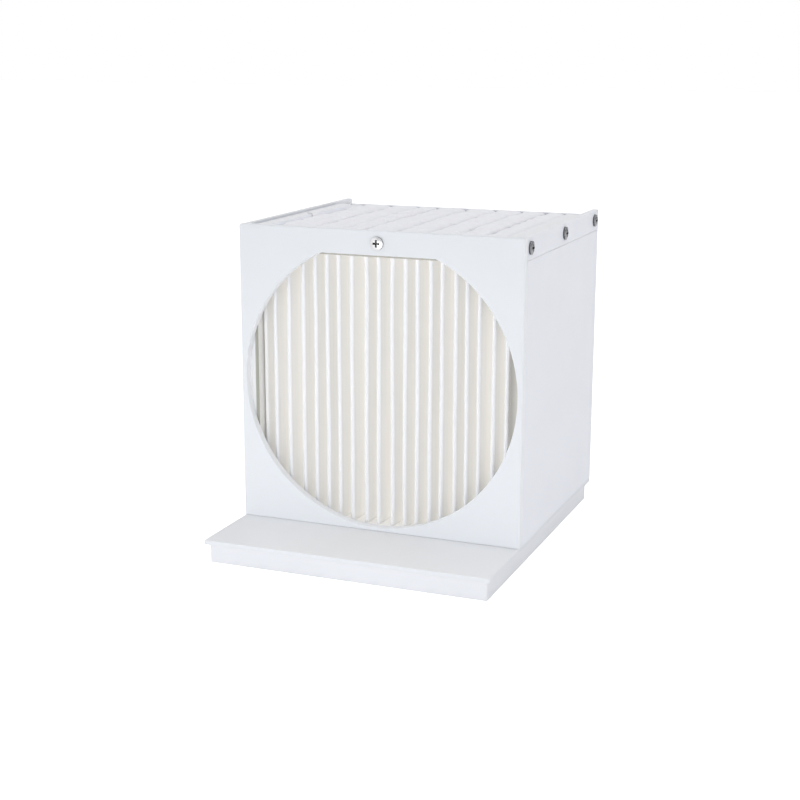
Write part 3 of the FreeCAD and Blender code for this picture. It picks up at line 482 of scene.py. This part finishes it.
# ---------------------------------------------------------------- pleated pack
# uneven spacing of the front folds, left to right, scaled to fit the pack
FOLD_STEPS = [6.4, 9.6, 9.9, 8.0, 8.0, 7.5, 8.7, 9.4, 7.9, 9.0, 8.3, 7.5, 8.3, 7.4, 8.6, 7.2, 7.5,
              9.1, 8.6]
FIRST_TIP, TIP_MARGINS = 2.55, 5.8      # first tip from the left side; left and right margins
HALF_SKIN = 0.42                        # half the media's thickness
FOLD_R = 0.80
PACK_GAP = 0.05                         # media to the box's front and back
TIP_SETBACK = 0.43
BACK_MARGIN = 0.6                       # outermost back folds to the box's sides
PLEAT_ROWS, HELD_ROWS = 84, 7           # rows up the height; rows that straighten at each end
FLANK_STOPS = (0.10, 0.35, 0.62, 0.84)  # share of the way from back fold to tip
BELLY = 0.35


def pleats():
    lo, hi = box_mm("pleated_pack")
    scale = (hi.x - lo.x - TIP_MARGINS) / sum(FOLD_STEPS)
    tips = [lo.x + FIRST_TIP]
    for step in FOLD_STEPS:
        tips.append(tips[-1] + step * scale)
    y_front, y_back = lo.y + HALF_SKIN + PACK_GAP, hi.y - HALF_SKIN - PACK_GAP
    verts = []
    for j in range(PLEAT_ROWS + 1):
        z = lo.z + 0.1 + (hi.z - lo.z - 0.2) * j / PLEAT_ROWS
        free = min(1.0, min(j, PLEAT_ROWS - j) / HELD_ROWS)     # 0 where the boards hold it
        xs = [x + free * (sway(0.70, i * 3.7, z * 0.009, 1.3) + sway(0.16, i * 5.1, z * 0.040, 7.7))
              for i, x in enumerate(tips)]
        backs = [(a + b) / 2 + free * sway(0.6, i * 2.3, z * 0.012, 4.2)
                 for i, (a, b) in enumerate(zip(xs, xs[1:]))]
        backs = [lo.x + BACK_MARGIN, *backs, hi.x - BACK_MARGIN]
        line = []
        for i, x in enumerate(xs):
            tip_y = y_front + TIP_SETBACK + free * (sway(0.30, i * 1.9, z * 0.016, 9.1)
                                                    + sway(0.10, i * 6.1, z * 0.07, 2.1))
            if i == 0:      # the first fold is pressed back
                tip_y += 0.55 + free * 0.5
            tip_y = max(y_front, tip_y)
            tip_r = FOLD_R + sway(0.12, i * 4.7, z * 0.03, 5.5)

            def flank(side, back, stops, lane):
                """One bellied flank; side is -1 left of the tip, 1 right of it."""
                root = back - side * FOLD_R
                for t in stops:
                    belly = free * BELLY * math.sin(math.pi * t) * (1 + sway(1, lane, z * 0.02, t * 2))
                    line.append((root + (x + side * tip_r - root) * t + side * belly,
                                 y_back + (tip_y + tip_r - y_back) * t))

            flank(-1, backs[i], FLANK_STOPS, i * 2.2)
            for degrees in range(180, -1, -20):
                angle = math.radians(degrees)
                line.append((x + tip_r * math.cos(angle), tip_y + tip_r - tip_r * math.sin(angle)))
            flank(1, backs[i + 1], FLANK_STOPS[::-1], i * 2.9 + 40)
            if i < len(xs) - 1:
                for degrees in range(180, 361, 36):
                    angle = math.radians(degrees)
                    line.append((backs[i + 1] + FOLD_R * math.cos(angle),
                                 y_back - FOLD_R - FOLD_R * math.sin(angle)))
        verts += [(x, min(max(y, y_front), y_back), z) for x, y in line]
    o = piece("pleat_media", verts, grid_faces(PLEAT_ROWS, len(line)), pleat_paper(),
              "cassette")
    thicken(o, 2 * HALF_SKIN)
    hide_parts("pleated_pack")


pleats()


# ---------------------------------------------------------------- fleece pad
STRIP_WIDTHS = [20.0, 20.0, 12.5, 21.0, 20.0, 18.1, 16.2, 17.6]     # left to right, scaled
REAR_GAPS = (0.2, 0.0, 0.3, 0.0, 0.2, 0.1, 0.5, 0.9)                # each strip's, left to right
PAD_WIDTH, PAD_HEIGHT = 147.7, 9.8
SEAM_GAP = 0.10                     # strip to seam
STRIP_ROWS, RING = 80, 24
FLOOR_LIFT = 1.4                    # widest level above the pad's underside
SEWN_HEIGHT = 1.6                   # points below this stay put when inflated
ROUNDNESS = 0.62                    # power of the crown's curve; less is squarer


def quarter_round(distance, length):
    """Rises from 0 to 1 over a length, as a quarter ellipse."""
    return 1.0 if distance >= length else math.sqrt(max(0.0, 1 - (1 - distance / length) ** 2))


def fleece():
    """Stuffed strips side by side. Returns the pad, its sewn points and its limits in mm."""
    lo, hi = box_mm("outlet_pad")
    x1 = hi.x - 0.1
    x0 = x1 - PAD_WIDTH
    scale = PAD_WIDTH / sum(STRIP_WIDTHS)
    seams = [x0]
    for width in STRIP_WIDTHS:
        seams.append(seams[-1] + width * scale)
    z0, z_top = lo.z + 0.05, lo.z + PAD_HEIGHT
    verts, faces, sewn = [], [], []

    def seam_x(i, y):
        if i == 0:      # bulges to the left, most in its front part
            return seams[0] - 1.15 - 0.50 * unit((lo.y + 73 - y) / 6.0)
        if i == len(STRIP_WIDTHS):
            return seams[i] + sway(0.25, 2.2, y * 0.03, 3.1)
        return seams[i] + sway(0.8, i * 7.3, y * 0.021, 3.1) + sway(0.25, i * 3.3, y * 0.09, 8.1)

    for s, rear_gap in enumerate(REAR_GAPS):
        start = len(verts)
        last = s == len(STRIP_WIDTHS) - 1
        y_a, y_b = lo.y + 0.15, hi.y - 0.1 - rear_gap
        for j in range(STRIP_ROWS + 1):
            y = y_a + (y_b - y_a) * j / STRIP_ROWS
            to_end, to_rear = min(y - y_a, y_b - y), y_b - y
            front = y - y_a < to_rear
            tuck = quarter_round(to_end, 5.0 if front else (24.0 if last else 2.2))
            left, right = seam_x(s, y), seam_x(s + 1, y)
            mid, half = (left + right) / 2, (right - left) / 2 - SEAM_GAP
            tall, sag, square = tuck, 0.0, 0.0
            if front:
                half *= 0.80 + 0.20 * tuck
            else:
                sag = 0.9 * unit(1 - to_rear / 38.0)
                if last:        # the outer strip's free corner is rounded off
                    half *= 0.62 + 0.38 * tuck
                    mid = left + SEAM_GAP + half
                    tall = quarter_round(to_end, 6.0)
                else:           # seams close at the rear wall
                    half *= 0.95 + 0.05 * tuck
                    square = 0.34 * unit(1 - to_rear / 7.0)
            if s == 0:          # stands higher in its front part
                sag -= 0.75 * unit((lo.y + 71 - y) / 6.0)
            end_height = 0.50 if front else 0.80
            full = ((z_top - z0 - sag) * (0.965 + sway(0.04, s * 3.1, y * 0.02, 6.6))
                    * (end_height + (1 - end_height) * tall))
            power = ROUNDNESS - square
            for i in range(RING):
                angle = 2 * math.pi * i / RING
                c, n = math.cos(angle), math.sin(angle)
                if n >= 0:      # broad flat crown between tight seams
                    x = mid + half * math.copysign(abs(c) ** power, c)
                    z = z0 + FLOOR_LIFT + (full - FLOOR_LIFT) * n ** power
                    z += n * sway(0.16, x * 0.12, y * 0.10, s * 5.0)
                else:           # flat underside
                    x = mid + half * math.copysign(abs(c) ** 0.8, c)
                    z = z0 + FLOOR_LIFT - FLOOR_LIFT * abs(n) ** 0.5
                if z < z0 + SEWN_HEIGHT:
                    sewn.append(len(verts))
                verts.append((x, y, max(z, z0)))
        for j in range(STRIP_ROWS):
            for i in range(RING):
                a, b = start + j * RING + i, start + j * RING + (i + 1) % RING
                faces.append((a, b, b + RING, a + RING))
        faces.append(tuple(start + i for i in range(RING))[::-1])
        faces.append(tuple(start + STRIP_ROWS * RING + i for i in range(RING)))
    o = piece("fleece_pad", verts, faces, fleece_cloth(), "pad")
    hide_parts("outlet_pad")
    return o, sewn, ((x0 - 1.75, x1 + 0.4), (lo.y, hi.y), (z0, z_top + 0.9))


MAX_MOVE = 0.45     # mm that inflating may shift a point
CLOTH_FRAMES = 20


def inflate(o, sewn, limits):
    """Blows the strips up between their sewn edges, so the cloth buckles as stuffed fleece."""
    o.vertex_groups.new(name="sewn").add(sewn, 1.0, "REPLACE")
    rest = np.array([v.co for v in o.data.vertices])
    cloth = o.modifiers.new("cloth", "CLOTH")
    s = cloth.settings
    s.quality = 6
    s.mass = 0.12
    s.tension_stiffness = s.compression_stiffness = 9.0
    s.shear_stiffness = 5.0
    s.bending_stiffness = 0.35
    s.air_damping = 6.0
    s.use_pressure = True
    s.uniform_pressure_force = 4.0
    s.shrink_min = -0.07
    s.vertex_group_mass = "sewn"
    s.effector_weights.gravity = 0.0
    cloth.collision_settings.use_collision = False
    cloth.point_cache.frame_start, cloth.point_cache.frame_end = 1, CLOTH_FRAMES
    for f in range(1, CLOTH_FRAMES + 1):
        scene.frame_set(f)
    got = o.evaluated_get(bpy.context.evaluated_depsgraph_get()).data
    move = np.array([v.co for v in got.vertices]) - rest
    size = np.linalg.norm(move, axis=1)
    move *= np.minimum(1.0, MAX_MOVE * MM / np.maximum(size, 1e-9))[:, None]
    co = rest + move
    for axis, (low, high) in enumerate(limits):
        co[:, axis] = np.clip(co[:, axis], low * MM, high * MM)
    o.modifiers.clear()
    o.vertex_groups.clear()
    o.data.vertices.foreach_set("co", co.astype(np.float32).ravel())
    o.data.update()
    scene.frame_set(1)


pad, sewn_points, pad_limits = fleece()
inflate(pad, sewn_points, pad_limits)
smoothing = pad.modifiers.new("smooth", "SUBSURF")
smoothing.levels = smoothing.render_levels = 1


# ---------------------------------------------------------------- pull tab
# x, z of the tape: up from the pad's left seam, left over the rail, and folded back below
TAB_LINE = [(-73.2, 191.6), (-74.2, 193.4), (-75.0, 195.0), (-75.45, 196.2), (-75.95, 196.95),
            (-76.8, 197.12), (-77.9, 197.1), (-78.6, 197.05),
            (-79.0, 196.98), (-78.6, 196.78), (-77.5, 196.74), (-76.4, 196.74)]
TAB_FRONT, TAB_REAR = 60.6, 67.4        # from the pad's front
TAB_COLUMNS = 14
TAB_RIPPLE = 0.03


def pull_tab():
    """A short folded tape at the pad's left edge."""
    pad_front = box_mm("outlet_pad")[0].y
    y0, y1 = pad_front + TAB_FRONT, pad_front + TAB_REAR
    path = [(xa + (xb - xa) * t, za + (zb - za) * t)
            for (xa, za), (xb, zb) in zip(TAB_LINE, TAB_LINE[1:]) for t in (0.0, 0.34, 0.67)]
    path.append(TAB_LINE[-1])
    verts = [(x, y0 + (y1 - y0) * j / TAB_COLUMNS, z + TAB_RIPPLE * math.sin(j * 0.9 + x))
             for x, z in path for j in range(TAB_COLUMNS + 1)]
    thicken(piece("pad_pull_tab", verts, grid_faces(len(path) - 1, TAB_COLUMNS + 1),
                  tape_weave(), "pad"), 0.30)


pull_tab()


# ---------------------------------------------------------------- stage
FLOOR_HALF, FLOOR_CELLS = 8.0, 24
ROOM_LIGHT = 0.64
FLOOR_GLOW, FLOOR_GLOW_SEEN = 0.13, 0.72    # as light on the product; as the camera sees it
WARM, COOL = (1.0, 0.995, 0.99), (0.985, 0.99, 1.0)
# name, place, target, side of the square, power, colour
LAMPS = [
    ("front_low", (-0.03, -0.48, 0.04), (0, -0.05, 0.04), 0.36, 0.82, (0.975, 0.985, 1.0)),
    ("front_left", (-1.3, -1.7, 0.60), (0, 0, 0.09), 1.3, 2.1, COOL),
    ("front_right", (1.6, -1.5, 0.50), (0, 0, 0.09), 1.2, 1.8, WARM),
    ("side", (2.05, -0.1, 1.05), (0, 0, 0.10), 1.4, 6.0, WARM),
    ("spark", (1.7, -0.25, 0.62), (0.09, 0.0, 0.19), 0.16, 1.3, (1, 1, 1)),
    ("over", (0.1, 0.35, 2.4), (0, 0, 0.1), 1.8, 12.0, (1.0, 0.995, 0.985)),
    ("left", (-2.2, -0.4, 0.8), (0, 0, 0.1), 1.4, 6.0, (0.99, 0.995, 1.0)),
]
CAMERA_PLACE = (0.3362, -0.8636, 0.3071)
YAW, PITCH, ROLL = 0.3781, 0.2356, 0.0025   # radians: to the left, down, and about the view


def lay_floor():
    steps = [-FLOOR_HALF + 2 * FLOOR_HALF * i / FLOOR_CELLS for i in range(FLOOR_CELLS + 1)]
    floor = mesh_object("floor", [(x, y, 0.0) for y in steps for x in steps],
                        grid_faces(FLOOR_CELLS, FLOOR_CELLS + 1))
    g = new_material("floor_paper")
    tooth = g.span(g.noise(scale=300, detail=4, rough=0.6), over=(0.3, 0.7))
    paper = g.node("BsdfDiffuse", Roughness=1.0,
                   Color=g.blend(tooth, (0.90, 0.90, 0.90), (0.915, 0.915, 0.915)))
    seen = g.node("LightPath").outputs["Is Camera Ray"]
    glow = g.node("Emission", Color=(1, 1, 1),
                  Strength=g.span(seen, over=(0.0, 1.0), to=(FLOOR_GLOW, FLOOR_GLOW_SEEN)))
    both = g.node("AddShader", i0=paper.outputs[0], i1=glow.outputs[0])
    floor.data.materials.append(g.finish(both))


def surround():
    """White behind the product; as light, a room that is dimmer to the right."""
    scene.world = bpy.data.worlds.new("studio")
    g = Graph(scene.world, "OutputWorld")
    back = g.node("Background", Color=(1, 1, 1), Strength=1.0)
    across = g.split(g.node("TexCoord").outputs["Generated"])[X]
    ramp = g.node("ValToRGB", i0=g.span(across, over=(-1.0, 1.0)))
    left, right = ramp.color_ramp.elements
    left.color = (0.95, 0.97, 1.0, 1)
    right.color = (0.80, 0.80, 0.83, 1)
    room = g.node("Background", Color=ramp.outputs[0], Strength=ROOM_LIGHT)
    seen = g.node("LightPath").outputs["Is Camera Ray"]
    g.finish(g.node("MixShader", i0=seen, i1=room.outputs[0], i2=back.outputs[0]))


def hang_lamp(name, place, target, size, power, colour):
    light = bpy.data.lights.new(name, "AREA")
    light.shape = "RECTANGLE"
    light.size = light.size_y = size
    light.energy, light.color = power, colour
    o = bpy.data.objects.new(name, light)
    scene.collection.objects.link(o)
    o.location = place
    o.rotation_euler = (Vector(target) - o.location).to_track_quat("-Z", "Y").to_euler()
    o.visible_camera = False


def place_camera():
    forward = Vector((-math.sin(YAW) * math.cos(PITCH), math.cos(YAW) * math.cos(PITCH),
                      -math.sin(PITCH)))
    level = Vector((math.cos(YAW), math.sin(YAW), 0))
    right = math.cos(ROLL) * level + math.sin(ROLL) * level.cross(forward)
    turn = Matrix((right, right.cross(forward), -forward)).transposed().to_4x4()
    camera = bpy.data.objects.new("camera", bpy.data.cameras.new("camera"))
    camera.data.lens, camera.data.sensor_width = 68.09, 36.0
    camera.data.clip_start, camera.data.clip_end = 0.05, 60.0
    camera.matrix_world = Matrix.Translation(Vector(CAMERA_PLACE)) @ turn
    scene.collection.objects.link(camera)
    scene.camera = camera


lay_floor()
surround()
for lamp in LAMPS:
    hang_lamp(*lamp)
place_camera()
scene.view_settings.view_transform = "Standard"
